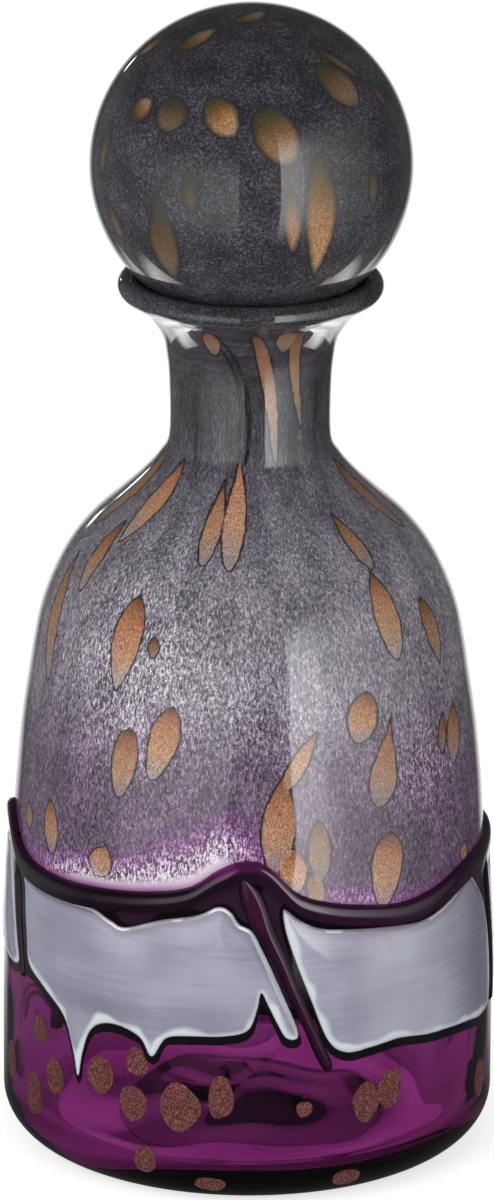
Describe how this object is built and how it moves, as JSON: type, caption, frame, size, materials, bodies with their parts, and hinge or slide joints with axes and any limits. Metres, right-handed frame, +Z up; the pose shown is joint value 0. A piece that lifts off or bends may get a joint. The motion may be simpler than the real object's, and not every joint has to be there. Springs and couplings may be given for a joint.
{
  "type": "bottle vase",
  "caption": "Tall blown-glass bottle vase with a narrow neck, rolled lip, thick coloured base with inlaid patches, and a ball stopper that lifts out.",
  "frame": {"origin": "on the vase's axis, in the plane that its foot stands on", "axes": "+Z up along the axis, -Y to the front, where the front trail runs between the two large patches"},
  "size_m": [0.1425, 0.1419, 0.3348],
  "materials": {
    "smoke_frit_glass": "gloss, with fine pale speckle and copper flecks",
    "amethyst_glass": "gloss, see-through",
    "opal_glass": "gloss"
  },
  "bodies": {
    "vase": {"blown_bottle": "smoke_frit_glass", "amethyst_cup": "amethyst_glass", "opal_patch_front_left": "opal_glass", "opal_patch_front_right": "opal_glass", "opal_patch_right": "opal_glass", "opal_patch_back": "opal_glass", "opal_patch_left": "opal_glass", "amethyst_trail_front": "amethyst_glass", "amethyst_trail_right": "amethyst_glass", "amethyst_trail_back_right": "amethyst_glass", "amethyst_trail_back_left": "amethyst_glass", "amethyst_trail_left": "amethyst_glass"},
    "stopper": {"stopper_ball": "smoke_frit_glass", "stopper_stem": "smoke_frit_glass"}
  },
  "joints": [
    {"name": "stopper_lift", "type": "slide", "parent": "vase", "child": "stopper", "axis": [0, 0, 1], "range_m": [0, 0.075]}
  ]
}
